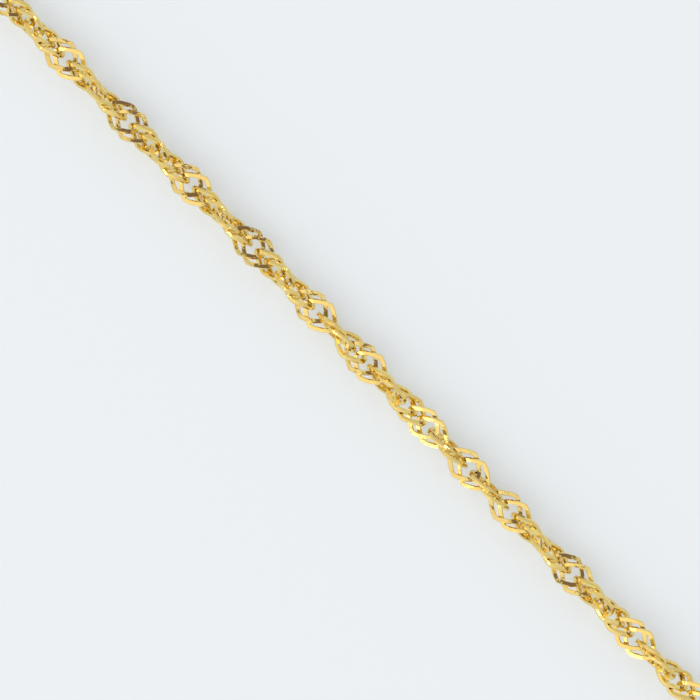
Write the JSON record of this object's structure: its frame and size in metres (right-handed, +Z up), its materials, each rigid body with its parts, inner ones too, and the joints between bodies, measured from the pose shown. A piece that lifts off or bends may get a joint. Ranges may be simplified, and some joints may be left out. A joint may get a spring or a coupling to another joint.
{
  "type": "twisted chain necklace",
  "caption": "Closed neck chain of fine twisted links laid flat in a long loop, with a plain round clasp and a small ring at each end of the chain.",
  "frame": {"origin": "middle of the loop's outline, on the surface the necklace lies on", "axes": "+X along the straight front stretch, +Y from the front stretch to the clasp, +Z up from the surface"},
  "size_m": [0.1724, 0.0992, 0.003],
  "materials": {
    "chain_gold": "polished, with small flat cuts",
    "ring_gold": "polished",
    "clasp_gold": "polished"
  },
  "bodies": {
    "root": {"chain": "chain_gold", "ring_left": "ring_gold", "clasp": "clasp_gold", "ring_right": "ring_gold"}
  },
  "joints": []
}
